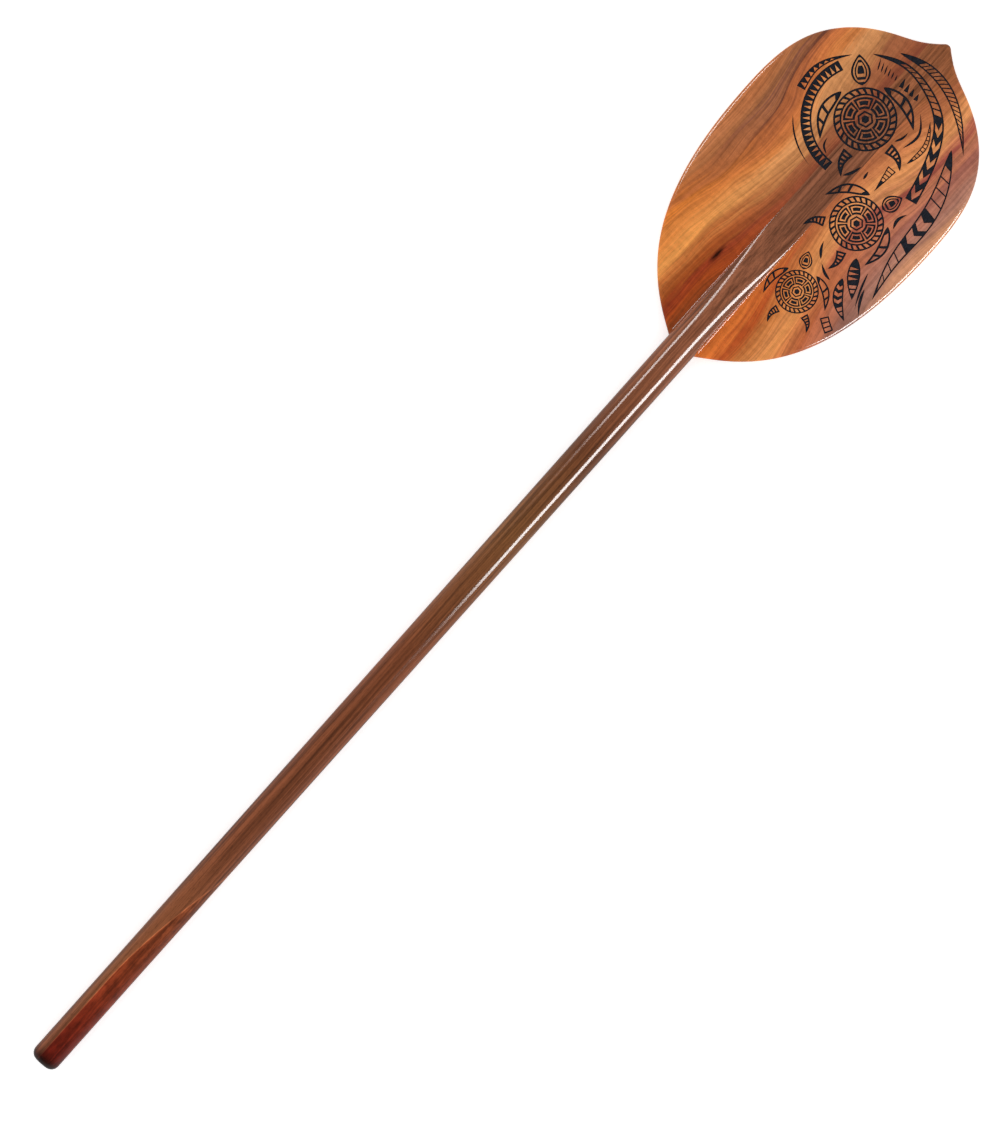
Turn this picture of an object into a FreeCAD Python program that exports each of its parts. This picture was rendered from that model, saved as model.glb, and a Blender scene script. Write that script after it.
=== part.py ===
"""Single blade paddle: a round shaft that runs on as the blade's spine, with a wing board on each side of it.

Frame: the paddle lies on the flat face of its blade. +X runs from the grip end to the blade's tip, +Y to the
left wing and +Z up, out of the face that carries the rib. The origin is on the surface that the paddle lies on,
at the middle of its length and its width.
"""
import FreeCAD
import Part
import math
import os

Vector = FreeCAD.Vector

# Overall sizes, mm
PADDLE_LENGTH = 1524.0
BLADE_LENGTH = 450.0            # from the throat, where the wings leave the shaft, to the tip
BLADE_WIDTH = 278.0

# Shaft
GRIP_RADIUS = 16.8
GRIP_LENGTH = 150.0             # straight part at the end that is held
GRIP_ROUND = 10.0               # rounded edge of the grip end
THROAT_RADIUS = 18.5            # the shaft swells evenly up to the throat, and the spine is as wide as this
FAIRING_LENGTH = 60.0           # ahead of the throat, where the round shaft turns into the flat-backed spine
SHAFT_LIFT = 0.3                # height of the round shaft's underside over the blade's flat face

# Blade: flat underneath, gently crowned on top
THROAT_THICKNESS = 16.0         # along the spine, at the throat
TIP_THICKNESS = 8.0             # along the spine, at the tip
RIM_THICKNESS = 8.0             # at the widest place
RIM_ROUND = 3.0
NIB_RADIUS = 6.5                # blunt point at the tip
RIB_LENGTH = 212.0              # the shaft fades out as a rib over this much of the blade's upper face

# Dowels through the spine into both wings
DOWEL_RADIUS = 3.0
DOWEL_LENGTH = 84.0
DOWEL_CLEARANCE = 0.05          # glue space round a dowel
DOWEL_END_SPACE = 1.0           # glue space at each end
DOWELS = {"throat_dowel": 0.14, "middle_dowel": 0.42, "tip_dowel": 0.70}      # places along the blade

# Blade outline between the throat and the nib: (part of the blade's length, part of its half width)
OUTLINE = [(0.048, 0.362), (0.147, 0.668), (0.346, 0.929), (0.574, 1.0),
           (0.793, 0.886), (0.892, 0.608), (0.933, 0.376), (0.962, 0.178), (0.984, 0.077)]
SHOULDER_SLOPE = 1.55           # how steeply the wings leave the shaft

# Worked out from the sizes
GRIP_END = -PADDLE_LENGTH / 2
THROAT = PADDLE_LENGTH / 2 - BLADE_LENGTH
AXIS_HEIGHT = THROAT_RADIUS + SHAFT_LIFT
HALF_WIDTH = BLADE_WIDTH / 2
DEEP = 8 * THROAT_RADIUS        # taller than anything on the blade


def at(along, across, up):
    """A point by its distance from the throat, from the centre line and from the flat face."""
    return Vector(THROAT + along, across, up)


def centre_thickness(along):
    return THROAT_THICKNESS - (THROAT_THICKNESS - TIP_THICKNESS) * (along / BLADE_LENGTH) ** 2


WIDEST = BLADE_LENGTH * max(OUTLINE, key=lambda place: place[1])[0]
CROWN_FALL = (centre_thickness(WIDEST) - RIM_THICKNESS) / HALF_WIDTH ** 2


def thickness(along, across):
    return centre_thickness(along) - CROWN_FALL * across ** 2


def shaft_radius(along):
    """Radius of the round shaft, ahead of the throat."""
    swell = (THROAT_RADIUS - GRIP_RADIUS) / (THROAT - GRIP_END - GRIP_LENGTH)
    return max(GRIP_RADIUS, THROAT_RADIUS + swell * along)


def outline():
    """Closed edge of the blade: two mirrored sides, the nib's round and a straight root inside the shaft."""
    nose = BLADE_LENGTH - NIB_RADIUS + NIB_RADIUS * math.sqrt(0.5)
    nose_side = NIB_RADIUS * math.sqrt(0.5)
    points = [at(0, THROAT_RADIUS, 0)]
    points += [at(BLADE_LENGTH * along, HALF_WIDTH * across, 0) for along, across in OUTLINE]
    points += [at(nose, nose_side, 0)]
    curve = Part.BSplineCurve()
    curve.interpolate(points, InitialTangent=Vector(1, SHOULDER_SLOPE, 0), FinalTangent=Vector(1, -1, 0))
    left = curve.toShape()
    right = left.mirror(at(0, 0, 0), Vector(0, 1, 0))
    nib = Part.Arc(at(nose, nose_side, 0), at(BLADE_LENGTH, 0, 0), at(nose, -nose_side, 0)).toShape()
    root = Part.makeLine(at(0, -THROAT_RADIUS, 0), at(0, THROAT_RADIUS, 0))
    return Part.Wire(Part.__sortEdges__([left, nib, right, root]))


def under_the_crown():
    """Solid below the blade's upper face. The face falls as the square of the distance along and across,
    so it is exactly a patch of the second degree."""
    start, end = -FAIRING_LENGTH, BLADE_LENGTH + FAIRING_LENGTH
    side = HALF_WIDTH + FAIRING_LENGTH
    slope = (THROAT_THICKNESS - TIP_THICKNESS) / BLADE_LENGTH ** 2
    rows = [(start, start * start), ((start + end) / 2, start * end), (end, end * end)]
    columns = [(-side, side * side), (0, -side * side), (side, side * side)]
    patch = Part.BezierSurface()
    patch.increase(2, 2)
    for row, (along, along_square) in enumerate(rows):
        for column, (across, across_square) in enumerate(columns):
            height = THROAT_THICKNESS - slope * along_square - CROWN_FALL * across_square
            patch.setPole(row + 1, column + 1, at(along, across, height))
    return patch.toShape().extrude(Vector(0, 0, -DEEP))


def is_rim(edge):
    """The long edges round the blade, above and below, but not its root or its upright corners."""
    flat_ends = [(vertex.Point.x, vertex.Point.y) for vertex in edge.Vertexes]
    return flat_ends[0] != flat_ends[-1] and edge.BoundBox.XMax > THROAT + 1


def blade_blank():
    """The whole blade before it is cut into spine and wings, with no rib on it."""
    blank = Part.Face(outline()).extrude(Vector(0, 0, DEEP)).common(under_the_crown())
    thinnest = min(thickness(BLADE_LENGTH * along, HALF_WIDTH * across) for along, across in OUTLINE)
    return blank.makeFillet(min(RIM_ROUND, 0.45 * thinnest), [edge for edge in blank.Edges if is_rim(edge)])


def sawn_out(blank, start, low, high):
    """The blank beyond a distance from the throat, between two lines along it."""
    return blank.common(Part.makeBox(2 * BLADE_LENGTH, high - low, DEEP, at(start, low, -DEEP / 2)))


def closed(edges):
    return Part.Wire(Part.__sortEdges__(edges))


def arc(first, middle, last):
    """An edge through three points: round, or straight where they are in line."""
    if (middle - first).cross(last - first).Length < 1e-6:
        return Part.makeLine(first, last)
    return Part.Arc(first, middle, last).toShape()


def fairing_section(along):
    """Section of the spine ahead of the throat: a circle whose lower corners fill out towards the throat."""
    radius = shaft_radius(along)
    share = 1 + along / FAIRING_LENGTH
    fill = share * share * (3 - 2 * share)

    def blend(angle, square_across, square_up):
        across = radius * math.cos(angle)
        up = AXIS_HEIGHT + radius * math.sin(angle)
        return across + fill * (square_across - across), up + fill * (square_up - up)

    corner = blend(-math.pi / 4, THROAT_RADIUS, 0)
    flank = blend(-math.pi / 8, THROAT_RADIUS, AXIS_HEIGHT / 2)
    foot = blend(0, THROAT_RADIUS, AXIS_HEIGHT)
    keel = blend(-math.pi / 2, 0, 0)
    edges = [arc(*[at(along, side * across, up) for across, up in (corner, flank, foot)]) for side in (1, -1)]
    edges.append(arc(at(along, corner[0], corner[1]), at(along, *keel), at(along, -corner[0], corner[1])))
    edges.append(arc(at(along, foot[0], foot[1]), at(along, 0, AXIS_HEIGHT + radius),
                     at(along, -foot[0], foot[1])))
    return closed(edges)


def rib_section(along):
    """Section of the spine on the blade: flat below, upright sides, and a round crown that fades with the
    rib's length until it is level with the blade's face."""
    fade = (1 + math.cos(math.pi * along / RIB_LENGTH)) / 2
    foot = thickness(along, THROAT_RADIUS) + fade * (AXIS_HEIGHT - thickness(0, THROAT_RADIUS))
    rise = max(fade * THROAT_RADIUS, centre_thickness(along) - foot)
    crown = [at(along, THROAT_RADIUS * math.cos(turn * math.pi / 8), foot + rise * math.sin(turn * math.pi / 8))
             for turn in range(9)]
    right, top, left = crown[0], crown[4], crown[8]
    if 0 < along < RIB_LENGTH:
        curve = Part.BSplineCurve()
        curve.interpolate(crown)
        over = curve.toShape()
    else:
        over = arc(right, top, left)
    keel = [at(along, side * THROAT_RADIUS, 0) for side in (1, -1)]
    return closed([Part.makeLine(right, keel[0]), Part.makeLine(*keel), Part.makeLine(keel[1], left), over])


def round_shaft():
    """Turned shaft from the grip end to the fairing, with a rounded end."""
    end_round = min(GRIP_ROUND, 0.9 * GRIP_RADIUS)
    flat = GRIP_RADIUS - end_round
    side = end_round * math.sqrt(0.5)
    corner = arc(Vector(GRIP_END, flat, 0), Vector(GRIP_END + end_round - side, flat + side, 0),
                 Vector(GRIP_END + end_round, GRIP_RADIUS, 0))
    fairing = THROAT - FAIRING_LENGTH
    rest = Part.makePolygon([Vector(GRIP_END + end_round, GRIP_RADIUS, 0),
                             Vector(GRIP_END + GRIP_LENGTH, GRIP_RADIUS, 0),
                             Vector(fairing, shaft_radius(-FAIRING_LENGTH), 0), Vector(fairing, 0, 0),
                             Vector(GRIP_END, 0, 0), Vector(GRIP_END, flat, 0)])
    solid = Part.Face(closed([corner] + rest.Edges)).revolve(Vector(0, 0, 0), Vector(1, 0, 0), 360)
    solid.translate(Vector(0, 0, AXIS_HEIGHT))
    return solid


def shaft_spine(blank):
    fairing = Part.makeLoft([fairing_section(FAIRING_LENGTH * (step / 4 - 1)) for step in range(5)], True)
    rib = Part.makeLoft([rib_section(RIB_LENGTH * step / 8) for step in range(9)], True)
    strip = sawn_out(blank, RIB_LENGTH, -THROAT_RADIUS, THROAT_RADIUS)
    return round_shaft().fuse([fairing, rib, strip])


def dowel_rod(place, extra_radius, extra_length):
    """A rod across the blade, in the middle of its thickness."""
    along = BLADE_LENGTH * place
    half = DOWEL_LENGTH / 2 + extra_length
    return Part.makeCylinder(DOWEL_RADIUS + extra_radius, 2 * half,
                             at(along, -half, centre_thickness(along) / 2), Vector(0, 1, 0))


def build():
    blank = blade_blank()
    parts = {"shaft_spine": shaft_spine(blank),
             "left_wing": sawn_out(blank, 0, THROAT_RADIUS, BLADE_WIDTH),
             "right_wing": sawn_out(blank, 0, -BLADE_WIDTH, -THROAT_RADIUS)}
    for place in DOWELS.values():
        hole = dowel_rod(place, DOWEL_CLEARANCE, DOWEL_END_SPACE)
        parts = {name: shape.cut(hole) for name, shape in parts.items()}
    for name, place in DOWELS.items():
        parts[name] = dowel_rod(place, 0, 0)
    return parts


os.makedirs("parts", exist_ok=True)
for name, shape in build().items():
    solid = shape.Solids[0]
    print(name, "solids", len(shape.Solids), "valid", solid.isValid(), "volume", round(solid.Volume))
    solid.exportStep("parts/" + name + ".step")
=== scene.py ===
# %% [markdown]
# # A single blade paddle, turned, glued up, carved and lacquered
# The paddle is one long dark shaft that runs on through the blade as its spine, with a golden board
# glued to each side of it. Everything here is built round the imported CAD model, which is loaded first and
# never moved. Lengths are in metres in Blender, and in millimetres wherever a maker would measure.

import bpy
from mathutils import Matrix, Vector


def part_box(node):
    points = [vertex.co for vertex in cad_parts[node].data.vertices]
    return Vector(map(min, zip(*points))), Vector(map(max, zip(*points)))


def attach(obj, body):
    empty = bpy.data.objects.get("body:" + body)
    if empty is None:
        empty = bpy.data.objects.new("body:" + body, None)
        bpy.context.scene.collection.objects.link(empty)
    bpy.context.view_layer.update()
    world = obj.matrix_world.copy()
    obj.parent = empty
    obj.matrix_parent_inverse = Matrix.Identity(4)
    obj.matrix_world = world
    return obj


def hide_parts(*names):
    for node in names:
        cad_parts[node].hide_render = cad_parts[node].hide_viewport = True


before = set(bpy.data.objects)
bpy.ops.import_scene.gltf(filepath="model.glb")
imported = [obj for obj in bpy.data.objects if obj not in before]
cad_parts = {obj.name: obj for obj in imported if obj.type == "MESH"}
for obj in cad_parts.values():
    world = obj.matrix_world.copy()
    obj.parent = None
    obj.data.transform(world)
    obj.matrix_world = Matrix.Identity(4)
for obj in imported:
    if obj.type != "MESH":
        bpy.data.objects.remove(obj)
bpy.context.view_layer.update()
print("CAD nodes:", ", ".join(sorted(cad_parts)))

# %% Libraries and the scene's own settings
import math

import bpy
import numpy as np

MM = 0.001
SCENE = bpy.context.scene
SCENE.view_settings.view_transform = "Standard"

# %% [markdown]
# ## The paddle's sizes
# The CAD nodes say where things are: the wings start at the throat, and the spine is as wide as the gap
# between them. The few sizes that a box can't give, such as the blade's thickness, are typed in as a maker
# would note them on the bench drawing. "Along" is the distance from the throat towards the tip, and "across"
# is the distance from the centre line.

# %% Sizes, mm
WING_LOW, WING_HIGH = [[c / MM for c in corner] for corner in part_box("left_wing")]
SPINE_LOW, SPINE_HIGH = [[c / MM for c in corner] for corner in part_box("shaft_spine")]
THROAT = WING_LOW[0]
HALF_SPINE = WING_LOW[1]
HALF_WIDTH = WING_HIGH[1]
GRIP_END = SPINE_LOW[0] - THROAT
BLADE_LENGTH = SPINE_HIGH[0] - THROAT
AXIS_HEIGHT = SPINE_HIGH[2] - HALF_SPINE
GRIP_RADIUS, GRIP_LENGTH, GRIP_ROUND = 16.8, 150.0, 10.0
FAIRING_LENGTH, RIB_LENGTH = 60.0, 212.0
THROAT_THICKNESS, TIP_THICKNESS, RIM_THICKNESS = 16.0, 8.0, 8.0
RIM_ROUND, RIM_SWEEP, NIB_RADIUS = 3.0, 6.0, 6.5
COVE_WIDTH, COVE_CLIMB = 3.5, 0.75      # the cove climbs this share of the rib's upright foot
SHOULDER_SLOPE = 1.55
OUTLINE = [(0.048, 0.362), (0.147, 0.668), (0.346, 0.929), (0.574, 1.0), (0.793, 0.886),
           (0.892, 0.608), (0.933, 0.376), (0.962, 0.178), (0.984, 0.077)]
print("throat at", round(THROAT, 2), "blade", round(BLADE_LENGTH, 2), "by", round(2 * HALF_WIDTH, 2))

# %% [markdown]
# ## The blade's outline
# A paddle maker draws the outline with a thin batten bent through a few marks. A cubic spline does the same:
# it passes through every mark and bends as little as it can. The batten is pinned in direction at both ends,
# at the shoulder by the shaft and at the blunt nib.

# %% A batten through marks
def batten(marks, start=None, end=None, steps=24):
    """Points along a smooth curve through marks. start and end are directions, or None to leave it free."""
    marks = np.array(marks, float)
    spans = np.linalg.norm(np.diff(marks, axis=0), axis=1)
    slopes = np.diff(marks, axis=0) / spans[:, None]
    count = len(marks)
    bend, pull = np.eye(count), np.zeros((count, 2))
    for i in range(1, count - 1):
        bend[i, i - 1:i + 2] = spans[i], 2 * (spans[i - 1] + spans[i]), spans[i - 1]
        pull[i] = 3 * (spans[i] * slopes[i - 1] + spans[i - 1] * slopes[i])
    for row, near, slope, tangent in ((0, 1, slopes[0], start), (count - 1, count - 2, slopes[-1], end)):
        if tangent is None:
            bend[row, near], pull[row] = 0.5, 1.5 * slope
        else:
            pull[row] = np.array(tangent, float) / np.linalg.norm(tangent)
    tangents = np.linalg.solve(bend, pull)
    t = np.linspace(0, 1, steps, endpoint=False)[:, None]
    runs = []
    for i in range(count - 1):
        runs.append((1 + 2 * t) * (1 - t) ** 2 * marks[i] + t * (1 - t) ** 2 * spans[i] * tangents[i]
                    + t * t * (3 - 2 * t) * marks[i + 1] + t * t * (t - 1) * spans[i] * tangents[i + 1])
    return np.vstack(runs + [marks[-1:]])


def nib_arc():
    turn = np.linspace(math.pi / 4, 0, 13)[1:, None]
    return np.hstack([BLADE_LENGTH - NIB_RADIUS + NIB_RADIUS * np.cos(turn), NIB_RADIUS * np.sin(turn)])


NIB_START = BLADE_LENGTH - NIB_RADIUS * (1 - math.sqrt(0.5))
marks = [(0, HALF_SPINE)] + [(BLADE_LENGTH * a, HALF_WIDTH * c) for a, c in OUTLINE]
marks += [(NIB_START, NIB_RADIUS * math.sqrt(0.5))]
EDGE = np.vstack([batten(marks, (1, SHOULDER_SLOPE), (1, -1), 40), nib_arc()])
print("outline points:", len(EDGE), "widest", round(EDGE[:, 1].max(), 2))

# %% [markdown]
# ## The blade's faces
# The back lies flat, and the front is gently crowned: it falls away as the square of the distance along and
# across. The rim is rounded over: 3 mm deep on both faces, and swept in over 6 mm on the front, where it
# catches the light as a bright line just inside the edge. Where the spine stands up as a rib, a scraped cove
# runs along its foot.

# %% Heights on the blade
def centre_thickness(along):
    return THROAT_THICKNESS - (THROAT_THICKNESS - TIP_THICKNESS) * (along / BLADE_LENGTH) ** 2


WIDEST = BLADE_LENGTH * max(OUTLINE, key=lambda mark: mark[1])[0]
CROWN_FALL = (centre_thickness(WIDEST) - RIM_THICKNESS) / HALF_WIDTH ** 2


def thickness(along, across):
    return centre_thickness(along) - CROWN_FALL * across ** 2


def rib_fade(along):
    """1 where the rib starts at the throat, easing to 0 where it is level with the blade."""
    return (1 + np.cos(math.pi * np.clip(along / RIB_LENGTH, 0, 1))) / 2


def rib_foot(along):
    level = thickness(along, HALF_SPINE)
    return level + rib_fade(along) * (AXIS_HEIGHT - thickness(0, HALF_SPINE))


def rim_distance(along, across):
    """Distance from points on the blade to its outline."""
    points = np.column_stack([np.ravel(along), np.abs(np.ravel(across))])
    nearest = np.full(len(points), np.inf)
    for start, step in zip(EDGE[:-1], np.diff(EDGE, axis=0)):
        share = np.clip((points - start) @ step / (step @ step), 0, 1)[:, None]
        nearest = np.minimum(nearest, np.linalg.norm(points - start - share * step, axis=1))
    return nearest.reshape(np.shape(along))


def round_over(distance, sweep):
    """How far the rim's round lowers a face at a distance from the outline."""
    inside = 1 - np.minimum(distance, sweep) / sweep
    return RIM_ROUND * (1 - np.sqrt(1 - inside ** 2))


def cove_rise(along, across):
    """Height of the cove that fills the corner between the wing and the rib's foot."""
    height = COVE_CLIMB * (rib_foot(along) - thickness(along, HALF_SPINE))
    inside = 1 - np.clip((np.abs(across) - HALF_SPINE) / COVE_WIDTH, 0, 1)
    return height * (1 - np.sqrt(1 - inside ** 2))


print("thickness at throat, widest and tip:",
      [round(float(thickness(a, c)), 2) for a, c in ((0, 0), (WIDEST, HALF_WIDTH), (BLADE_LENGTH, 0))])

# %% [markdown]
# ## Bench helpers
# Every long part is worked the same way. A flat grid is added, rolled round the part by giving each of its
# points a place on the surface, and welded where its edges meet. What makes a part itself is only the rule
# that says where the points go.

# %% Pick, weld and check
WELD = 2e-6                 # m


def deselect_all():
    bpy.ops.object.select_all(action="DESELECT")


def pick(piece):
    deselect_all()
    piece.select_set(True)
    bpy.context.view_layer.objects.active = piece


def weld(piece, drop_slivers=False):
    """Merges doubled points, turns the faces outwards and returns the number of edges that are still open."""
    bpy.ops.object.mode_set(mode="EDIT")
    bpy.ops.mesh.select_all(action="SELECT")
    bpy.ops.mesh.remove_doubles(threshold=WELD)
    if drop_slivers:
        bpy.ops.mesh.dissolve_degenerate(threshold=WELD / 2)
    bpy.ops.mesh.normals_make_consistent(inside=False)
    bpy.ops.mesh.select_all(action="DESELECT")
    bpy.ops.mesh.select_non_manifold()
    bpy.ops.object.mode_set(mode="OBJECT")
    return sum(edge.select for edge in piece.data.edges)


print("points closer than", WELD / MM, "mm are welded")


# %% Roll a grid into a closed part
def rolled_part(name, places):
    """A closed mesh from a table of points, mm: one row for each station along, one column for each step
    round it. The last column meets the first, and stations that shrink to a point are welded shut."""
    stations, around = places.shape[0], places.shape[1]
    places = np.concatenate([places, places[:, :1]], axis=1)
    deselect_all()
    bpy.ops.mesh.primitive_grid_add(x_subdivisions=stations - 1, y_subdivisions=around, size=1)
    part = bpy.context.active_object
    part.name = part.data.name = name
    flat = np.empty(len(part.data.vertices) * 3, np.float32)
    part.data.vertices.foreach_get("co", flat)
    flat = flat.reshape(-1, 3)
    station = np.rint((flat[:, 0] + 0.5) * (stations - 1)).astype(int)
    step = np.rint((flat[:, 1] + 0.5) * around).astype(int)
    part.data.vertices.foreach_set("co", (places[station, step] * MM).astype(np.float32).ravel())
    part.data.update()
    open_edges = weld(part, drop_slivers=True)
    print(name, len(part.data.polygons), "faces, open edges:", open_edges)
    return part


# %% [markdown]
# ## The shaft and spine
# On the real paddle this is one stick. It is turned round from the grip to the throat, swelling a little,
# then planed flat underneath so that it can carry on through the blade. On the front it stands up as a rib
# that is faded by hand into the blade, and its end makes the nib. One section rule, blended from a circle to a
# flat-backed arch to a thin strip, gives it all in one piece with no joins to hide.

# %% Section of the stick
TOP_STEPS, SIDE_STEPS, BACK_STEPS = 36, 6, 24
OVER = np.linspace(0, math.pi, TOP_STEPS + 1)
DOWN = np.linspace(0, 1, SIDE_STEPS + 1)[1:-1]
UNDER = np.linspace(-1, 1, BACK_STEPS + 1)


def half_width_at(along):
    return np.interp(along, EDGE[:, 0], EDGE[:, 1])


def stick_section(along):
    """Points round the stick: over the top from left to right, down the right side, back underneath, up."""
    if along < 0:
        swell = (HALF_SPINE - GRIP_RADIUS) / (-GRIP_END - GRIP_LENGTH)
        radius = max(GRIP_RADIUS, HALF_SPINE + swell * along)
        into_end = along - GRIP_END
        if into_end < GRIP_ROUND:
            radius += math.sqrt(max(GRIP_ROUND ** 2 - (GRIP_ROUND - into_end) ** 2, 0)) - GRIP_ROUND
        share = max(0.0, 1 + along / FAIRING_LENGTH)
        fill = share * share * (3 - 2 * share)
        top = np.column_stack([radius * np.cos(OVER), AXIS_HEIGHT + radius * np.sin(OVER)])
        turn = -math.pi / 4 * DOWN
        side = np.column_stack([radius * np.cos(turn), AXIS_HEIGHT + radius * np.sin(turn)])
        side += fill * (np.column_stack([np.full(len(DOWN), HALF_SPINE), AXIS_HEIGHT * (1 - DOWN)]) - side)
        turn = UNDER * math.pi / 4
        back = np.column_stack([radius * np.sin(turn), AXIS_HEIGHT - radius * np.cos(turn)])
        back += fill * (np.column_stack([HALF_SPINE * np.sin(UNDER * math.pi / 2), 0 * UNDER]) - back)
    else:
        half = min(HALF_SPINE, float(half_width_at(along)))
        across = half * np.cos(OVER)
        if along < RIB_LENGTH:
            rise = max(HALF_SPINE * rib_fade(along), centre_thickness(along) - rib_foot(along))
            height = rib_foot(along) + rise * np.sin(OVER)
        else:
            rim = rim_distance(np.full(len(across), along), across)
            height = thickness(along, across) - round_over(rim, RIM_SWEEP)
        top = np.column_stack([across, height])
        across = half * np.sin(UNDER * math.pi / 2)
        rim = rim_distance(np.full(len(across), along), across)
        back = np.column_stack([across, round_over(rim, RIM_ROUND)])
        side = np.column_stack([np.full(len(DOWN), half),
                                height[0] + (back[-1, 1] - height[0]) * DOWN])
    ring = np.vstack([top, side * (-1, 1), back, side[::-1]])
    return np.column_stack([np.full(len(ring), THROAT + along), ring])


print("points round the stick:", len(stick_section(0)))

# %% Stations along the stick
NOSE_START = 400.0          # from here the strip narrows quickly, so its stations stand closer
round_turns = np.linspace(0, math.pi / 2, 9)
stations = np.concatenate([
    GRIP_END + GRIP_ROUND * (1 - np.cos(round_turns)),
    np.linspace(GRIP_END + GRIP_ROUND, -FAIRING_LENGTH, 60)[1:],
    np.linspace(-FAIRING_LENGTH, 0, 13)[1:],
    np.linspace(0, RIB_LENGTH, 49)[1:],
    np.linspace(RIB_LENGTH, NOSE_START, 42)[1:],
    np.linspace(NOSE_START, NIB_START, 30)[1:],
    nib_arc()[:, 0]])
sections = np.stack([stick_section(along) for along in stations])
end_face = sections[0]
end_centre = np.array([THROAT + GRIP_END, 0, AXIS_HEIGHT])
end_rings = [end_centre + share * (end_face - end_centre) for share in (0.0, 0.35, 0.7)]
stick = rolled_part("turned_shaft_and_spine", np.concatenate([np.stack(end_rings), sections]))

# %% [markdown]
# ## The wings
# Each wing is a board glued to the spine's side and shaped with it. Its stations run across the board from
# the glue line to the rim and back underneath, with the points crowded where the surface turns quickly:
# in the cove beside the rib and over the rounded rim. Both ends of the board run out to nothing, so the
# stations there close to an upright line.

# %% Section of a wing
COVE_STEPS = COVE_WIDTH * np.array([0, 0.02, 0.06, 0.13, 0.22, 0.35, 0.55, 1.0])
ROUND_STEPS = RIM_SWEEP * (1 - np.cos(np.linspace(0, math.pi / 2, 10)))
MIDDLE_STEPS = np.linspace(0, 1, 22)[1:-1]
BEYOND_WIDEST = EDGE[EDGE[:, 0] > WIDEST]
WING_END = float(np.interp(-HALF_SPINE, -BEYOND_WIDEST[:, 1], BEYOND_WIDEST[:, 0]))
ROOM_BETWEEN = 1.3
CROWDING = 0.85             # 0 spaces the stations evenly, 1 packs them as close as can be at both ends
share = np.linspace(0, 1, 130)
WING_STATIONS = WING_END * (share - CROWDING * np.sin(2 * math.pi * share) / (2 * math.pi))


def wing_rows(along):
    """Distances across the wing at one station, from the glue line out to the rim."""
    width = max(float(half_width_at(along)) - HALF_SPINE, 0)
    step = 0.2
    slope = (half_width_at(along + step) - half_width_at(along - step)) / (2 * step)
    rounds = ROUND_STEPS * math.sqrt(1 + slope ** 2)
    # near its ends the wing is too narrow for the cove and the round, so both are squeezed, with room between
    needed = ROOM_BETWEEN * (COVE_STEPS[-1] + rounds[-1])
    squeeze = min(1.0, width / needed)
    near, far = COVE_STEPS * squeeze, width - rounds[::-1] * squeeze
    return HALF_SPINE + np.concatenate([near, near[-1] + (far[0] - near[-1]) * MIDDLE_STEPS, far])


def wing_places(side):
    across = np.stack([wing_rows(along) for along in WING_STATIONS])
    along = np.repeat(WING_STATIONS[:, None], across.shape[1], axis=1)
    rim = rim_distance(along, across)
    rim[0], rim[-1] = 0, 0
    front, back = round_over(rim, RIM_SWEEP), round_over(rim, RIM_ROUND)
    top = thickness(along, across) + cove_rise(along, across) * (1 - front / RIM_ROUND) - front
    along, across = THROAT + along, side * across
    loops = [np.concatenate([out, home[:, ::-1]], axis=1)
             for out, home in ((along, along), (across, across), (top, back))]
    return np.stack(loops, axis=2)


left_wing = rolled_part("carved_left_wing", wing_places(1))
right_wing = rolled_part("carved_right_wing", wing_places(-1))

# %% [markdown]
# ## The carving, laid out flat
# The front carries a swirl of dark grooves: three plain turtles swimming up the blade, with crescents, ladders
# and rows of teeth curling round them. The whole design is generic and made here from one idea, the ribbon:
# a line through a few marks, with a width that swells and fades. A ribbon's outline is a groove, and the cells
# left standing inside it are islands of wood. Islands never touch, so the flat drawing fills cleanly.

# %% Ribbons and their cells
THINNEST = 0.12             # mm, the least half width
DRAWN_STEP = 1.5            # mm between drawn points
LOOK_AHEAD = 0.4            # mm to each side of a point, to find which way the line heads


class Ribbon:
    """A band of varying half width along a smooth line. Lengths and places are in mm: along, across."""

    def __init__(self, line, half_width, swell, edge):
        self.line = batten(line, steps=16) if len(line) > 2 else np.linspace(*np.array(line, float), 24)
        run = np.linalg.norm(np.diff(self.line, axis=0), axis=1)
        self.run = np.concatenate([[0], np.cumsum(run)])
        self.length = self.run[-1]
        self.half_width, self.swell, self.edge = half_width, swell, edge

    def on_line(self, distance):
        return np.column_stack([np.interp(distance, self.run, self.line[:, i]) for i in (0, 1)])

    def place(self, share, side, inset):
        """Points at a share of the length and of the half width, left positive, kept inset from the edge."""
        share = np.asarray(share, float)
        distance = share * self.length
        heading = self.on_line(distance + LOOK_AHEAD) - self.on_line(distance - LOOK_AHEAD)
        heading /= np.linalg.norm(heading, axis=1)[:, None]
        half = np.maximum(self.half_width * self.swell(share) - inset, THINNEST)
        left = np.column_stack([-heading[:, 1], heading[:, 0]])
        return self.on_line(distance) + left * (half * side)[:, None]

    def loop(self, corners, inset):
        """A closed drawing line through corners given as (share, side), following the ribbon between them."""
        points = []
        for (share, side), (next_share, next_side) in zip(corners, corners[1:] + corners[:1]):
            steps = max(1, int(abs(next_share - share) * self.length / DRAWN_STEP + 0.5))
            t = np.arange(steps) / steps
            points.append(self.place(share + (next_share - share) * t, side + (next_side - side) * t, inset))
        return np.vstack(points)

    def outline(self):
        return self.loop([(0, 1), (0, -1), (1, -1), (1, 1)], 0)

    def cell(self, first, last, inset=None, slant=0.0):
        """A four-sided island between two shares of the length."""
        inset = self.edge if inset is None else inset
        corners = [(first + slant, 1), (first - slant, -1), (last - slant, -1), (last + slant, 1)]
        return self.loop(corners, inset)


# %% How a ribbon swells from its start to its end
def leaf(share):
    return np.sin(math.pi * np.clip(share, 0, 1) ** 0.8) ** 0.85


def fin(share):
    return np.clip(1 - share, 0, 1) ** 0.75


def even(share):
    return np.ones_like(share)


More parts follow.
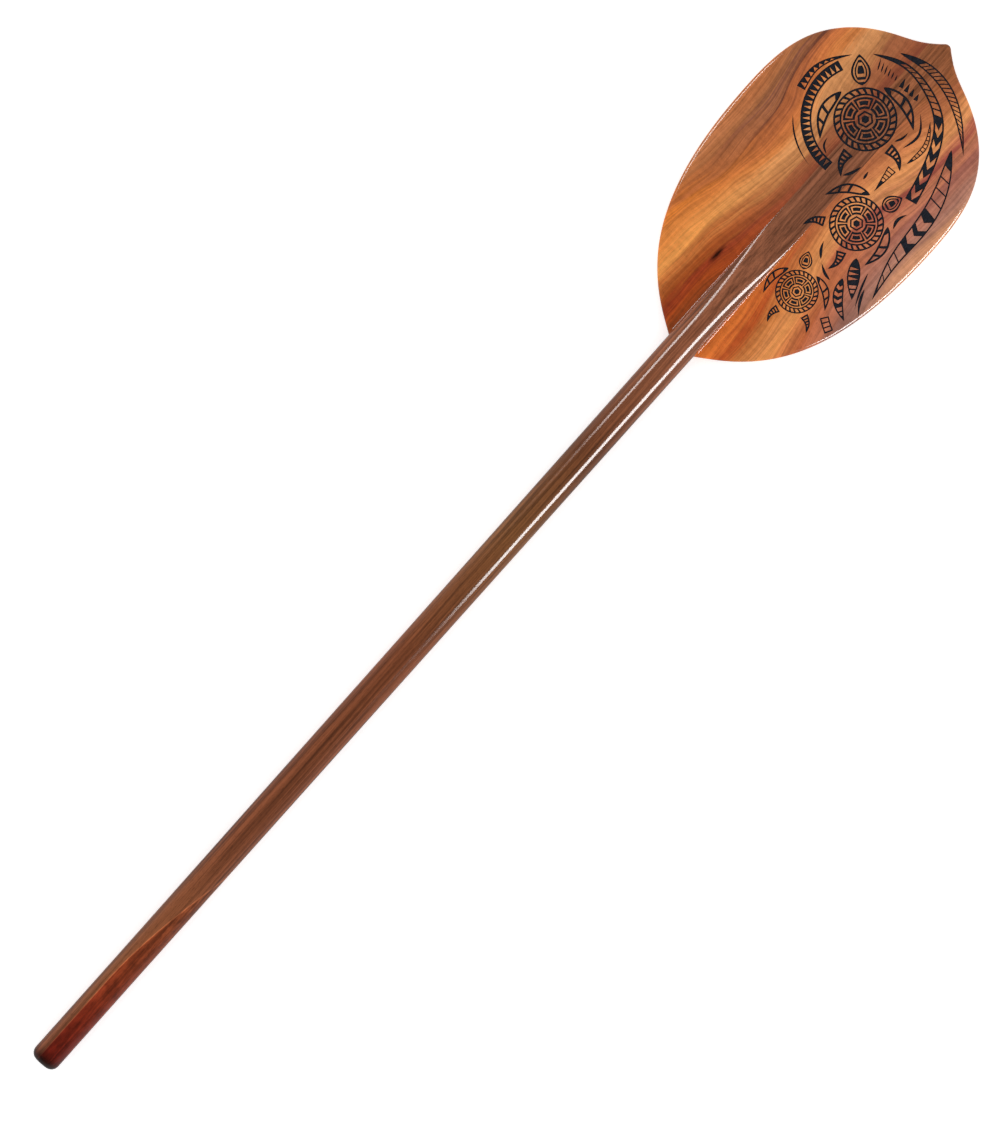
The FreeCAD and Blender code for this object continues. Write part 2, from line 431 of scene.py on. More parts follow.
def horn(share):
    return np.clip(share, 0, 1) ** 0.6 * (1 - 0.25 * np.clip(share, 0, 1))


def wedge(share):
    return np.clip(share, 0.02, 1) ** 0.9


print("widths at the middle:", {swell.__name__: round(float(swell(0.5)), 2) for swell in (leaf, fin, horn, wedge)})


# %% Patterns for the islands
def ladder(ribbon, count, first=0.0, last=1.0, slant=0.0):
    """Even cells with rungs between them, straight or slanted."""
    gap = ribbon.edge / ribbon.length
    ends = np.linspace(first + gap / 2, last - gap / 2, count + 1)
    return [ribbon.cell(a + gap / 2, b - gap / 2, slant=slant) for a, b in zip(ends, ends[1:])]


def teeth(ribbon, count, first=0.0, last=1.0, side=1):
    """A row of triangles standing on one edge, with dark teeth left between them."""
    half_gap = 0.55 * ribbon.edge / ribbon.length
    ends = np.linspace(first + 2 * half_gap, last - 2 * half_gap, count + 1)
    return [ribbon.loop([(a + half_gap, side), ((a + b) / 2, -side), (b - half_gap, side)], ribbon.edge)
            for a, b in zip(ends, ends[1:])]


def arrows(ribbon, count, first=0.0, last=1.0, point=0.45):
    """Cells whose ends are swept forward like the barbs of a spear."""
    gap = ribbon.edge / ribbon.length
    pitch = (last - first - gap) / count
    sweep = point * pitch
    made = []
    for i in range(count):
        a, b = first + gap + i * pitch, first + gap + (i + 1) * pitch - gap
        made.append(ribbon.loop([(a, 1), (a + sweep, 0), (a, -1), (b - sweep, -1), (b, 0), (b - sweep, 1)],
                                ribbon.edge))
    return made


DRAWING = []


def draw(ribbon, *islands):
    """Adds a groove with the shape of the ribbon and, inside it, groups of islands."""
    DRAWING.append(ribbon.outline())
    for group in islands:
        DRAWING.extend(group)


print("patterns:", ", ".join(pattern.__name__ for pattern in (ladder, teeth, arrows)))


# %% [markdown]
# ### Turtles
# One turtle is drawn in its own frame, with its shell's radius as the unit, then placed three times at three
# sizes. The shell is a ring of slanted cells round a disc of plates, six round one, as on any turtle. The front
# flippers are long leaves that sweep back, the rear ones are short fins, and the head is a nest of leaves, one
# within the other. A line drawn inside another turns wood to groove or groove to wood.

# %% Circles and shell plates
def on_circle(radius, degrees):
    turn = np.radians(degrees)
    return np.column_stack([radius * np.cos(turn), radius * np.sin(turn)])


def plate(inner, outer, first, last):
    """A four-sided shell plate between two radii and two angles."""
    steps = max(2, int((last - first) / 5))
    sweep = np.linspace(first, last, steps)
    return np.vstack([on_circle(outer, sweep), on_circle(inner, sweep[::-1])])


RING_CELLS = 26


def shell():
    """The lines of a shell of radius 1: its edge, the slanted cells of its ring, and the plates inside."""
    lines = [on_circle(1.0, np.arange(0, 360, 4)), on_circle(0.745, np.arange(0, 360, 5))]
    for first in np.arange(0, 360, 360 / RING_CELLS):
        lines.append(np.vstack([on_circle(0.94, [first, first + 4.0, first + 8.0]),
                                on_circle(0.80, [first + 3.0, first - 1.0, first - 5.0])]))
    lines += [on_circle(radius, np.arange(0, 360, 60)) for radius in (0.27, 0.205, 0.13)]
    for first in range(0, 360, 60):
        lines += [plate(inner, outer, first + trim, first + 120 - trim)
                  for inner, outer, trim in ((0.325, 0.695, 32.5), (0.405, 0.625, 39), (0.45, 0.58, 45))]
    return lines


print("lines in a shell:", len(shell()))


# %% Draw a turtle
def turtle(middle, radius, heading, reach):
    """A turtle heading some degrees to the left of the tip, with its nose at a reach from its middle."""
    turn = math.radians(heading)
    turned = np.array([[math.cos(turn), math.sin(turn)], [-math.sin(turn), math.cos(turn)]])

    def put(points):
        return np.array(points, float) * radius @ turned + middle

    edge = 0.073 * radius
    DRAWING.extend(put(points) for points in shell())
    for side in (1, -1):
        front = Ribbon(put([(0.93, 0.66 * side), (0.36, 1.25 * side), (-0.48, 1.46 * side)]),
                       0.185 * radius, leaf, edge)
        draw(front, [front.cell(*ends, slant=0.03 * side) for ends in ((0.16, 0.42), (0.48, 0.64), (0.70, 0.84))])
        rear = Ribbon(put([(-0.97, 0.62 * side), (-1.28, 0.87 * side), (-1.70, 0.92 * side)]),
                      0.19 * radius, fin, edge)
        draw(rear, ladder(rear, 4, 0.0, 0.72))
    head = Ribbon(put([(1.06, 0.0), (1.5, 0.0), (reach, 0.0)]), 0.31 * radius, leaf, edge)
    draw(head, [head.cell(first, 1 - first, inset * edge)
                for first, inset in ((0.11, 0.95), (0.18, 1.55), (0.27, 2.2), (0.37, 2.8))])


BIG_TURTLE = (325.6, 14.9)
turtle(BIG_TURTLE, radius=36.0, heading=47.0, reach=2.04)
turtle((232.1, -55.2), radius=31.0, heading=-19.0, reach=1.90)
turtle((130.9, -56.2), radius=24.5, heading=25.5, reach=1.92)
print("turtle drawing lines:", len(DRAWING))

# %% [markdown]
# ### The bands that curl round them
# A toothed ring and a fine arc follow the big turtle round. Beyond it two crescents follow the blade's own
# outline to the tip, one ending in barbed spears. Below, a long leaf and a few fronds run down to the rim.

# %% Bands round the big turtle
def round_big_turtle(radius, first, last):
    return on_circle(radius, np.linspace(first, last, 9)) + BIG_TURTLE


ring = Ribbon(round_big_turtle(66.5, 66, 184), 6.2, even, 2.1)
draw(ring, teeth(ring, 21))
draw(Ribbon(round_big_turtle(81, 128, 170), 1.0, leaf, 1))
top_crescent = Ribbon([(304, 92), (332, 94.5), (352, 87), (370, 74)], 5.2, fin, 1.6)
draw(top_crescent, teeth(top_crescent, 7, 0.0, 0.75, -1))

spear = Ribbon([(386, 57), (400, 22), (395.5, -17), (381, -45), (350, -66.5), (291, -84)], 9.6, horn, 2.0)
draw(spear, ladder(spear, 9, 0.16, 0.52, 0.012), arrows(spear, 5, 0.54, 1.0))
tip_crescent = Ribbon([(407, 35), (415, 4), (411, -33), (390, -70), (368.6, -94)], 5.6, leaf, 1.7)
draw(tip_crescent, ladder(tip_crescent, 19, 0.18, 0.93, 0.02))
print("with the big bands:", len(DRAWING))

# %% Small bands beside it
steps = Ribbon([(319.5, -53), (348, -55), (372, -41)], 3.0, leaf, 1.2)
draw(steps, ladder(steps, 9, 0.12, 0.88))
for line, half_width in (([(330, -38), (352, -41.5), (371, -27)], 1.5),
                         ([(262, -8), (272, -14), (283, -17)], 1.8),
                         ([(268, 22), (273, 30), (282, 33)], 1.2),
                         ([(255, -90), (265, -87), (277, -91)], 1.9),
                         ([(274, -28), (284, -26.5)], 1.5),
                         ([(165, -75), (167, -66), (173, -56)], 1.7),
                         ([(176, -52), (184, -45), (193, -41)], 1.7),
                         ([(329, -26), (337, -30), (346, -31)], 1.4)):
    draw(Ribbon(line, half_width, leaf, 1))
for row in range(6):
    draw(Ribbon([(375.5 + 0.8 * row, 41 - 4.4 * row), (388 - 0.3 * row, 47 - 5.2 * row)], 0.85, leaf, 1))
for row in range(4):
    draw(Ribbon([(378.5, 9 - 7.2 * row), (389.5 - row, 12 - 7.6 * row)], 2.6, fin, 1))
dart = Ribbon([(272, -46), (304, -44.5)], 5.5, wedge, 1.3)
draw(dart, ladder(dart, 4, 0.42, 1.0))
print("with the small bands:", len(DRAWING))

# %% Leaves and fronds towards the rim
long_leaf = Ribbon([(364, -80), (320, -102.5), (279, -111.5), (231, -114), (180, -125)], 9.2, leaf, 1.7)
draw(long_leaf, ladder(long_leaf, 4, 0.10, 0.40, 0.014), arrows(long_leaf, 2, 0.42, 0.62, 0.3),
     ladder(long_leaf, 4, 0.64, 0.93, 0.014))
rungs = Ribbon([(130, -98), (125, -105.5), (121, -113)], 5.2, even, 1.6)
draw(rungs, ladder(rungs, 3))
frond = Ribbon([(176, -84.5), (155, -96), (141.5, -117.5)], 6.0, leaf, 1.6)
draw(frond, arrows(frond, 3, 0.12, 0.62, 0.3), ladder(frond, 2, 0.64, 0.9))
broad = Ribbon([(203, -81), (186, -92), (165, -108)], 7.4, leaf, 1.7)
draw(broad, teeth(broad, 3, 0.16, 0.60, -1), ladder(broad, 2, 0.62, 0.88))
for line, half_width in (([(183, -111), (170, -116), (156.5, -125.5)], 1.7),
                         ([(199, -102), (180, -108), (160, -117)], 1.3)):
    draw(Ribbon(line, half_width, leaf, 1))
print("drawing lines in all:", len(DRAWING))

# %% [markdown]
# ### From a drawing to a cutter
# A laser burns the drawing about 0.7 mm deep, following the crowned face. The flat drawing is filled as one
# curve, given thickness, and turned into a mesh. Its upper points are then lifted clear of the blade and its
# lower points set just under the surface, so that cutting it away leaves floors of an even depth.

# %% Make the cutter
GROOVE_DEPTH, CUTTER_CLEAR = 0.7, 1.5       # under and over the face


def face_height(along, across):
    """Height of the blade's front at any point, with the rib on the spine."""
    level = thickness(along, across)
    arch = np.sqrt(np.clip(1 - (across / HALF_SPINE) ** 2, 0, 1))
    rise = np.maximum(HALF_SPINE * rib_fade(along), centre_thickness(along) - rib_foot(along))
    ridge = np.where((np.abs(across) < HALF_SPINE) & (along < RIB_LENGTH), rib_foot(along) + rise * arch, level)
    return np.maximum(level, ridge)


deselect_all()
drawing = bpy.data.curves.new("groove_drawing", "CURVE")
drawing.dimensions, drawing.fill_mode, drawing.extrude = "2D", "BOTH", MM
for points in DRAWING:
    line = drawing.splines.new("POLY")
    line.points.add(len(points) - 1)
    flat = (points + (THROAT, 0)) * MM
    line.points.foreach_set("co", np.column_stack([flat, np.zeros(len(flat)), np.ones(len(flat))]).ravel())
    line.use_cyclic_u = True
cutter = bpy.data.objects.new("groove_cutter", drawing)
SCENE.collection.objects.link(cutter)
pick(cutter)
bpy.ops.object.convert(target="MESH")
cutter = bpy.context.active_object
open_edges = weld(cutter)
print("cutter faces:", len(cutter.data.polygons), "open edges:", open_edges)

# %% Bend the cutter to the crowned face
places = np.empty(len(cutter.data.vertices) * 3)
cutter.data.vertices.foreach_get("co", places)
places = places.reshape(-1, 3)
surface = face_height(places[:, 0] / MM - THROAT, places[:, 1] / MM)
places[:, 2] = (surface + np.where(places[:, 2] > 0, CUTTER_CLEAR, -GROOVE_DEPTH)) * MM
cutter.data.vertices.foreach_set("co", places.ravel())
cutter.data.update()

# %% [markdown]
# ## Finishes
# Every finish is built from nodes that read the paddle's own coordinates, so the grain runs with the wood and
# stays put. One function adds a node, types in its settings and links its inputs; another turns the colours,
# written as hex values as a paint shop would, into the linear light that the renderer works in.

# %% Node and colour helpers
def paint(code):
    """A linear colour from an sRGB hex value."""
    parts = [int(code[i:i + 2], 16) / 255 for i in (1, 3, 5)]
    return tuple(c / 12.92 if c <= 0.04045 else ((c + 0.055) / 1.055) ** 2.4 for c in parts) + (1.0,)


def add(tree, kind, inputs=(), **settings):
    """Adds a node and returns its first output. Settings are the node's properties, stops fill a colour ramp
    with hex colours or grey shades, and inputs are linked or typed in."""
    made = tree.nodes.new("ShaderNode" + kind)
    for name, value in settings.items():
        if name == "stops":
            ramp = made.color_ramp
            while len(ramp.elements) < len(value):
                ramp.elements.new(0.5)
            for element, (place, colour) in zip(ramp.elements, value):
                element.position = place
                element.color = paint(colour) if isinstance(colour, str) else (colour, colour, colour, 1)
        else:
            setattr(made, name, value)
    for name, value in dict(inputs).items():
        if isinstance(value, bpy.types.NodeSocket):
            tree.links.new(value, made.inputs[name])
        else:
            made.inputs[name].default_value = value
    return made.outputs[0]


def finish_for(name, **shader_settings):
    """A new material with a Principled shader. Returns the material, its tree and the shader."""
    material = bpy.data.materials.new(name)
    material.use_nodes = True
    shader = material.node_tree.nodes["Principled BSDF"]
    for socket, value in shader_settings.items():
        shader.inputs[socket.replace("_", " ")].default_value = value
    return material, material.node_tree, shader


print("middle grey is", round(paint("#808080")[0], 3), "in linear light")

# %% [markdown]
# ### Wood figure
# All the wood here is drawn by the same two moves. Noise is given a number of cells to the metre along, across
# and up, so that a few cells along and many across make long thin streaks. Then a ramp turns the noise into
# shades round 1, and the wood's colour is multiplied by them. A shade below 1 darkens, as dense late growth
# and pores do, and one above 1 lightens.

# %% Figure and shade
def figure(tree, where, cells, detail=2.0, roughness=0.5, shift=(0, 0, 0)):
    """Noise with a number of cells to the metre along, across and up."""
    place = add(tree, "Mapping", {"Vector": where, "Scale": cells, "Location": shift})
    return add(tree, "TexNoise", {"Vector": place, "Scale": 1.0, "Detail": detail, "Roughness": roughness})


def shade(tree, colour, pattern, stops, share=1.0):
    """The colour multiplied by the shades that a ramp gives a pattern. The share tells how strongly."""
    shades = add(tree, "ValToRGB", {"Fac": pattern}, stops=stops)
    return add(tree, "MixRGB", {"Fac": share, "Color1": colour, "Color2": shades}, blend_type="MULTIPLY")


def wobble(tree, noise, reach):
    """Noise turned into a shift of up to a reach, mm, to either side."""
    return add(tree, "MapRange", {"Value": noise, "From Min": 0.25, "From Max": 0.75,
                                  "To Min": -reach * MM, "To Max": reach * MM})


# Clear gloss lacquer. The coat alone is glossy: it fills the wood's surface, which has no shine of its own.
LACQUER = dict(Coat_Weight=1.0, Coat_Roughness=0.13, Coat_IOR=1.5, Roughness=0.5, Specular_IOR_Level=0.0)
print("lacquer:", LACQUER)

# %% [markdown]
# ### Koa wings under lacquer
# The wings are koa: golden boards with wine-red and brown bands that run with the grain, fine dark growth
# lines, and a curl that crosses the grain and shimmers. A board's grain is never quite straight, so a grain
# coordinate is worked out first: it is the distance across the wing, bent in one long wave along the board and
# moved about by slow noise. Two ramps on it, one for the throat end and one for the tip end, give the bands,
# and every finer pattern is stretched along the same bent grain. A clear gloss lacquer lies over all of it.

# %% Koa's grain and figure
GRAIN_SPAN = 165.0                                  # mm of grain that the bands are laid out on
GRAIN_BENDS = ((50, 225, 25), (235, 410, -16))      # mm: start and end from the throat, shift across
KOA_FIGURE = [
    # (cells to the metre, noise detail, shades, share)
    # growth lines: cells of 24 mm across, each crossed by up to three dark lines
    ((3.0, 42.0, 8.0), 3.0, [(0.30, 1.0), (0.36, 0.72), (0.38, 1.04), (0.46, 1.0), (0.50, 0.62),
                             (0.515, 1.06), (0.60, 1.0), (0.64, 0.74), (0.66, 1.05)], 0.42),
    # streaks of about 7 mm, and fine ones under 2 mm
    ((6.0, 150.0, 30.0), 5.0, [(0.33, 0.66), (0.50, 1.0), (0.66, 1.16)], 0.62),
    ((12.0, 600.0, 60.0), 4.0, [(0.30, 0.66), (0.50, 1.0), (0.68, 1.18)], 0.60),
    # curl: ripples of 6 mm along the grain and 14 mm across it
    ((170.0, 70.0, 12.0), 4.0, [(0.34, 0.74), (0.50, 1.0), (0.66, 1.18)], 0.42),
    # pores: 4 mm long and 0.4 mm wide
    ((240.0, 2400.0, 900.0), 2.0, [(0.30, 0.60), (0.42, 1.0)], 0.8)]
KNOT_REACH = (16.0, 4.2)                            # mm from a knot's middle, along and across


def bent_grain(tree, where, seed):
    """The distance along, the grain coordinate, and the board's coordinates with the grain in place of the
    distance across, all in m."""
    along, across, up = add(tree, "SeparateXYZ", {"Vector": where}).node.outputs
    grain = add(tree, "Math", {0: across}, operation="ABSOLUTE")
    for start, end, shift in GRAIN_BENDS:
        bend = add(tree, "MapRange", {"Value": along, "From Min": (THROAT + start) * MM,
                                      "From Max": (THROAT + end) * MM, "To Max": shift * MM},
                   interpolation_type="SMOOTHSTEP")
        grain = add(tree, "Math", {0: grain, 1: bend}, operation="ADD")
    wander = wobble(tree, figure(tree, where, (5.0, 16.0, 16.0), shift=(seed, 0, 0)), 12)
    grain = add(tree, "Math", {0: grain, 1: wander}, operation="ADD")
    return along, grain, add(tree, "CombineXYZ", {"X": along, "Y": grain, "Z": up})


print("bands over", GRAIN_SPAN, "mm of grain, and", len(KOA_FIGURE), "finer patterns")


# %% Koa
def koa(name, throat_bands, tip_bands, seed, knot=None):
    """Koa, planed, sanded and sprayed with gloss lacquer: warm, banded and rippled, with a hard clear shine.
    Bands are given as (mm from the centre line, colour), and a knot as (mm from the throat, mm across)."""
    material, tree, shader = finish_for(name, **LACQUER)
    where = add(tree, "TexCoord").node.outputs["Object"]
    along, grain, bent = bent_grain(tree, where, seed)
    fray = wobble(tree, figure(tree, bent, (6.0, 140.0, 20.0), 5.0, 0.65, (0, seed, 0)), 9)
    band = add(tree, "Math", {0: grain, 1: fray}, operation="ADD")
    band = add(tree, "Math", {0: band, 1: 1 / (GRAIN_SPAN * MM)}, operation="MULTIPLY")
    at_throat, at_tip = [add(tree, "ValToRGB", {"Fac": band},
                             stops=[(place / GRAIN_SPAN, colour) for place, colour in bands])
                         for bands in (throat_bands, tip_bands)]
    toward_tip = add(tree, "MapRange", {"Value": along, "From Min": (THROAT + 80) * MM,
                                        "From Max": (THROAT + 280) * MM}, interpolation_type="SMOOTHSTEP")
    colour = add(tree, "MixRGB", {"Fac": toward_tip, "Color1": at_throat, "Color2": at_tip})
    for cells, detail, stops, share in KOA_FIGURE:
        colour = shade(tree, colour, figure(tree, bent, cells, detail, 0.58, (seed, seed, 0)), stops, share)
    if knot:
        # a pin knot: a dark fleck drawn out along the grain, with frayed ends
        fleck = add(tree, "Mapping", {
            "Vector": where, "Scale": (1 / (KNOT_REACH[0] * MM), 1 / (KNOT_REACH[1] * MM), 0),
            "Location": (-(THROAT + knot[0]) / KNOT_REACH[0], -knot[1] / KNOT_REACH[1], 0)})
        away = add(tree, "VectorMath", {0: fleck}, operation="LENGTH").node.outputs["Value"]
        frayed = add(tree, "Math", {0: fray, 1: 70.0, 2: away}, operation="MULTIPLY_ADD")
        colour = shade(tree, colour, frayed, [(0.25, 0.10), (0.62, 0.55), (1.0, 1.0)])
    tree.links.new(colour, shader.inputs["Base Color"])
    return material


left_koa = koa("koa_boards_lacquered_left",
               [(18, "#90461e"), (30, "#c1541f"), (40, "#98391c"), (48, "#a75120"), (58, "#c2662e"),
                (68, "#d78040"), (80, "#ffa856"), (90, "#f9984a"), (100, "#e7893f"), (108, "#f48e40"),
                (116, "#f48b38"), (124, "#cd723a"), (132, "#df8140"), (148, "#d08759")],
               [(18, "#925231"), (30, "#954f36"), (42, "#a75e3c"), (56, "#b06a44"), (68, "#c78451"),
                (82, "#e79e63"), (94, "#e28747"), (104, "#dc7d45"), (112, "#b9683d"), (118, "#704031"),
                (124, "#b67048"), (132, "#8d5744"), (139, "#b67247"), (152, "#cf7d4b")],
               seed=3.7, knot=(103, 38))
right_koa = koa("koa_boards_lacquered_right",
                [(18, "#dd702b"), (28, "#ee7f37"), (38, "#c55725"), (46, "#d06d33"), (56, "#df8746"),
                 (68, "#f29957"), (80, "#fba35b"), (92, "#df824b"), (104, "#db7444"), (116, "#cf7c59"),
                 (128, "#a76d5b"), (142, "#9c6c5e"), (156, "#a77463")],
                [(18, "#ad653f"), (28, "#b56c3f"), (40, "#c07047"), (52, "#d17f4e"), (66, "#f09d5e"),
                 (78, "#f5a266"), (90, "#b0574a"), (102, "#dc8861"), (114, "#a66454"), (126, "#c47f67"),
                 (140, "#be8470"), (156, "#e6a076")],
                seed=8.1)
print("koa nodes:", len(left_koa.node_tree.nodes))

# %% [markdown]
# ### The dark shaft
# The shaft is a walnut-brown hardwood with long straight grain. At the grip a red heart shows on its right
# side, and meets the brown along a thin pale line that crosses the shaft and runs out. Growth rings are
# cylinders round the tree's pith, and a shaft sawn beside the pith, at a slight slope to it, shows them as long
# flames. So the rings here are circles round a line that leans a little to the shaft. Soft mottling is
# strongest in the red, and streaks and pores follow the stick's length.

# %% The shaft's two colours
def shaft_colours(tree, along, across):
    """The brown and the red with painted shade at the grip's end, the pale line between them, and how far a place
    lies on the brown side.
    """
    length = add(tree, "MapRange", {"Value": along, "From Min": SPINE_LOW[0] * MM, "From Max": SPINE_HIGH[0] * MM})
    # the first stops of both ramps are painted shade: over about the last 15 mm at the grip end the wood turns near
    # black, where the rounded end faces away from the light
    brown = add(tree, "ValToRGB", {"Fac": length}, stops=[
        (0.0, "#120604"), (0.004, "#3a1208"), (0.010, "#824a30"), (0.08, "#8c5434"), (0.22, "#82492e"),
        (0.40, "#84492c"), (0.52, "#845430"), (0.60, "#6e4026"), (0.70, "#92583c"), (0.88, "#8e583e"),
        (1.0, "#a0603c")])
    red = add(tree, "ValToRGB", {"Fac": length}, stops=[
        (0.0, "#160806"), (0.004, "#2a0a04"), (0.010, "#64180c"), (0.05, "#782814"), (0.10, "#82381c"),
        (0.18, "#824628")])
    # the line between them keeps level for 120 mm and has crossed to the right edge by 460 mm
    drop = add(tree, "MapRange", {"Value": along, "From Min": (SPINE_LOW[0] + 120) * MM,
                                  "From Max": (SPINE_LOW[0] + 460) * MM, "To Max": 45 * MM},
               interpolation_type="SMOOTHSTEP")
    seam = add(tree, "Math", {0: across, 1: drop}, operation="ADD")
    seam = add(tree, "MapRange", {"Value": seam, "From Min": -20 * MM, "From Max": 40 * MM})
    side = add(tree, "ValToRGB", {"Fac": seam}, stops=[(0.425, 0.0), (0.45, 1.0)])
    colour = add(tree, "MixRGB", {"Fac": side, "Color1": red, "Color2": brown})
    return shade(tree, colour, seam, [(0.42, 1.0), (0.437, 2.1), (0.455, 1.0)]), side


RING_WIDTH = 7.0


def growth_rings(tree, where, along, across, up):
    """How far each place is through its growth ring, from 0 to 1."""
    square = 0.0
    for place, lean, offset in ((across, 0.016, 18), (up, -0.016, 4)):
        away = add(tree, "Math", {0: along, 1: lean, 2: offset * MM}, operation="MULTIPLY_ADD")
        away = add(tree, "Math", {0: away, 1: place}, operation="ADD")
        square = add(tree, "Math", {0: away, 1: away, 2: square}, operation="MULTIPLY_ADD")
    from_pith = add(tree, "Math", {0: square, 1: 0.5}, operation="POWER")
    sway = figure(tree, where, (2.6, 22.0, 22.0), 3.0)
    rings = add(tree, "Math", {0: sway, 1: 10 * MM, 2: from_pith}, operation="MULTIPLY_ADD")
    rings = add(tree, "Math", {0: rings, 1: 1 / (RING_WIDTH * MM)}, operation="MULTIPLY")
    return add(tree, "Math", {0: rings}, operation="FRACT")


print("rings of", RING_WIDTH, "mm")

# %% Dark shaft wood
# dark hardwood, turned, sanded and lacquered: brown with fine long streaks, red at the grip
dark_wood, tree, shader = finish_for("dark_hardwood_turned_lacquered", **LACQUER)
where = add(tree, "TexCoord").node.outputs["Object"]
along, across, up = add(tree, "SeparateXYZ", {"Vector": where}).node.outputs
colour, side = shaft_colours(tree, along, across)
mottled = add(tree, "MapRange", {"Value": side, "To Min": 0.85, "To Max": 0.15})
colour = shade(tree, colour, figure(tree, where, (70.0, 160.0, 160.0), 4.0, 0.6),
               [(0.34, 0.64), (0.50, 1.0), (0.64, 1.30)], mottled)
colour = shade(tree, colour, growth_rings(tree, where, along, across, up),
               [(0.0, 0.66), (0.15, 0.84), (0.55, 1.06), (0.88, 1.04), (0.94, 1.30), (0.985, 0.66)], 0.45)
# streaks 4 mm wide and 300 mm long, then pores 0.5 mm wide and 6 mm long
colour = shade(tree, colour, figure(tree, where, (3.2, 240.0, 240.0), 5.0, 0.65),
               [(0.34, 0.38), (0.48, 0.92), (0.62, 1.45)], 0.85)
colour = shade(tree, colour, figure(tree, where, (160.0, 2200.0, 2200.0)), [(0.32, 0.55), (0.44, 1.0)], 0.85)
tree.links.new(colour, shader.inputs["Base Color"])
print("shaft nodes:", len(tree.nodes))

# %% [markdown]
# ### Burnt grooves and bare dowels
# The laser chars the grooves and a thin dark stain settles in them, so they are almost black, with a matt,
# slightly uneven floor. The dowels inside are beech, bare because glue has to hold them, with the short brown
# flecks that beech rays show.

# %% Char and beech
char, tree, shader = finish_for("charred_groove_stained", Roughness=0.8, Specular_IOR_Level=0.1)
soot = figure(tree, add(tree, "TexCoord").node.outputs["Object"], (260.0, 900.0, 900.0), 3.0)
tree.links.new(add(tree, "ValToRGB", {"Fac": soot}, stops=[(0.35, "#10131c"), (0.65, "#232630")]),
               shader.inputs["Base Color"])

beech, tree, shader = finish_for("beech_dowel_planed", Roughness=0.58)
rays = figure(tree, add(tree, "TexCoord").node.outputs["Object"], (2200.0, 380.0, 2200.0))
tree.links.new(add(tree, "ValToRGB", {"Fac": rays}, stops=[(0.34, "#a97f5b"), (0.46, "#cfa67c"), (0.7, "#d9b38b")]),
               shader.inputs["Base Color"])
for name in ("throat_dowel", "middle_dowel", "tip_dowel"):
    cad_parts[name].data.materials.clear()
    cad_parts[name].data.materials.append(beech)
print("finishes:", ", ".join(m.name for m in (left_koa, right_koa, dark_wood, char, beech)))

# %% [markdown]
# ## Burning the grooves in
# The cutter is taken away from each of the three pieces that it crosses. It carries the charred finish, and a
# boolean cut passes that finish on to the walls and floors that it leaves. Edges sharper than 35 degrees stay
# crisp, and everything gentler is shaded smooth.

# %% Cut, shade and hand over each piece
CRISP_ANGLE = math.radians(35)
cutter.data.materials.append(char)
for piece, wood, node in ((stick, dark_wood, "shaft_spine"), (left_wing, left_koa, "left_wing"),
                          (right_wing, right_koa, "right_wing")):
    piece.data.materials.append(wood)
    piece.data.materials.append(char)
    pick(piece)
    cut = piece.modifiers.new("grooves", "BOOLEAN")
    cut.operation, cut.solver, cut.object = "DIFFERENCE", "MANIFOLD", cutter
    bpy.ops.object.modifier_apply(modifier=cut.name)
    bpy.ops.object.shade_smooth_by_angle(angle=CRISP_ANGLE)
    charred = sum(face.material_index == 1 for face in piece.data.polygons)
    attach(piece, "root")
    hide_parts(node)
    print(piece.name, len(piece.data.polygons), "faces,", charred, "charred")
bpy.data.objects.remove(cutter)

# %% [markdown]
# ## The studio
# The paddle lies on its flat back on a plain white floor. The floor glows faintly, as a light table does, so
# that it stays an even white and the paddle's shadow is soft. It is left out of reflections, because gloss
# lacquer would mirror it in every rounded edge. For the same reason the lacquer reflects a darker room than the
# white one that lights the wood: in a real studio, black cloths are hung between the lamps for this.

# %% Floor and room
FLOOR_GAP = 0.0004          # m under the paddle, so that their faces don't flicker in one plane
deselect_all()
bpy.ops.mesh.primitive_plane_add(size=14, location=(0, 0, -FLOOR_GAP))
floor = bpy.context.active_object
floor.name = "studio_floor"
floor.data.materials.append(finish_for(
    "white_studio_floor", Roughness=0.9, Base_Color=paint("#ebebeb"), Emission_Color=paint("#ffffff"),
    Emission_Strength=0.52)[0])
floor.visible_glossy = False

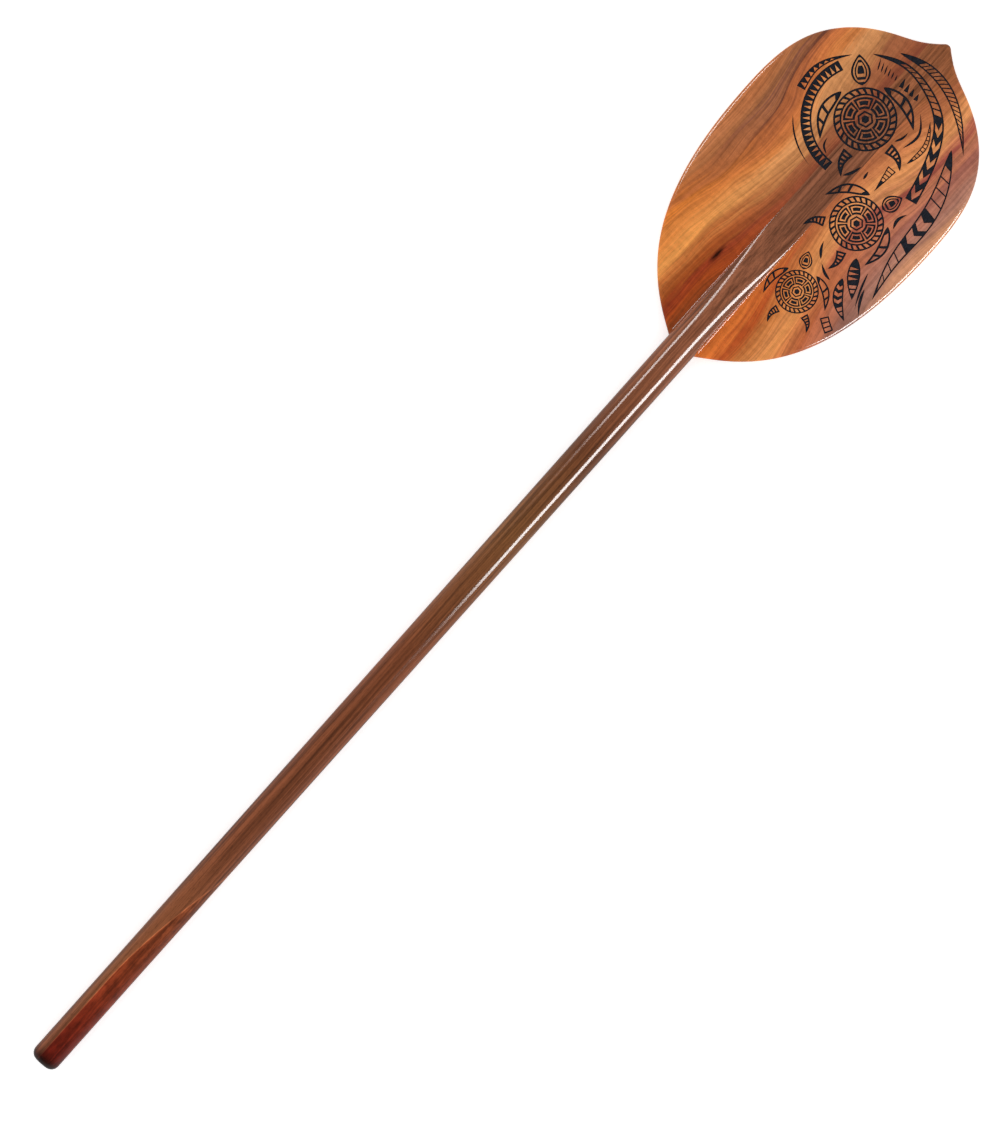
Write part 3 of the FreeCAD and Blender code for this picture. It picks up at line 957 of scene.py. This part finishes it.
world = bpy.data.worlds.new("white_room_dim_ceiling")
world.use_nodes = True
tree = world.node_tree
up = add(tree, "SeparateXYZ", {"Vector": add(tree, "TexCoord")}).node.outputs["Z"]
room = add(tree, "ValToRGB", {"Fac": up}, stops=[(0.0, 0.95), (0.55, 1.0), (0.93, 0.7)])
cloths = add(tree, "ValToRGB", {"Fac": up}, stops=[(0.0, 0.36), (0.35, 0.12), (0.93, 0.05)])
mirrored = add(tree, "LightPath").node.outputs["Is Glossy Ray"]
seen = add(tree, "MixRGB", {"Fac": mirrored, "Color1": room, "Color2": cloths})
tree.links.new(seen, tree.nodes["Background"].inputs["Color"])
tree.nodes["Background"].inputs["Strength"].default_value = 1.0
SCENE.world = world
print("room:", world.name, "with", len(tree.nodes), "nodes")

# %% [markdown]
# ### Lamps and camera
# A long soft light low on the right side draws the broad bright line down the shaft, and a weaker one on the
# left draws the thin one. They only show as reflections in the lacquer, because the white room already lights
# the wood evenly. The camera looks straight down through a long lens, turned so that the paddle runs up to the
# right. It stands as far off as that lens needs to take in the whole paddle.

# %% Softboxes
LAMP_DISTANCE = 2.0


def soft_light(name, middle, elevation, side, length, width, power):
    """A softbox as long as given along the paddle, m, over a middle on its line, seen from there at an
    elevation in degrees on the left side, 1, or the right one, -1."""
    turn = math.radians(elevation)
    lamp = bpy.data.lights.new(name, "AREA")
    lamp.shape, lamp.size, lamp.size_y, lamp.energy = "RECTANGLE", length, width, power
    light = bpy.data.objects.new(name, lamp)
    SCENE.collection.objects.link(light)
    light.location = (middle, side * LAMP_DISTANCE * math.cos(turn), LAMP_DISTANCE * math.sin(turn))
    light.rotation_euler = (side * -(math.pi / 2 - turn), 0, 0)
    light.visible_diffuse = False


soft_light("right_softbox", middle=0.52, elevation=32, side=-1, length=1.16, width=0.66, power=50)
soft_light("left_softbox", middle=0.60, elevation=38, side=1, length=0.76, width=0.46, power=13)

# %% Camera
AIM = (-0.0033, -0.0098, 0.012)     # m: the middle of the frame, at half the shaft's height
HALF_FRAME = 0.628                  # m of that plane from the middle of the frame to its upper edge
PADDLE_TURN = -48.26                # degrees

eye = bpy.data.cameras.new("overhead_camera")
eye.lens, eye.sensor_width, eye.clip_end = 250, 36, 100
camera = bpy.data.objects.new("overhead_camera", eye)
SCENE.collection.objects.link(camera)
camera.location = (AIM[0], AIM[1], AIM[2] + HALF_FRAME * eye.lens / (eye.sensor_width / 2))
camera.rotation_euler = (0, 0, math.radians(PADDLE_TURN))
SCENE.camera = camera
print("camera height, m:", round(camera.location.z, 3))
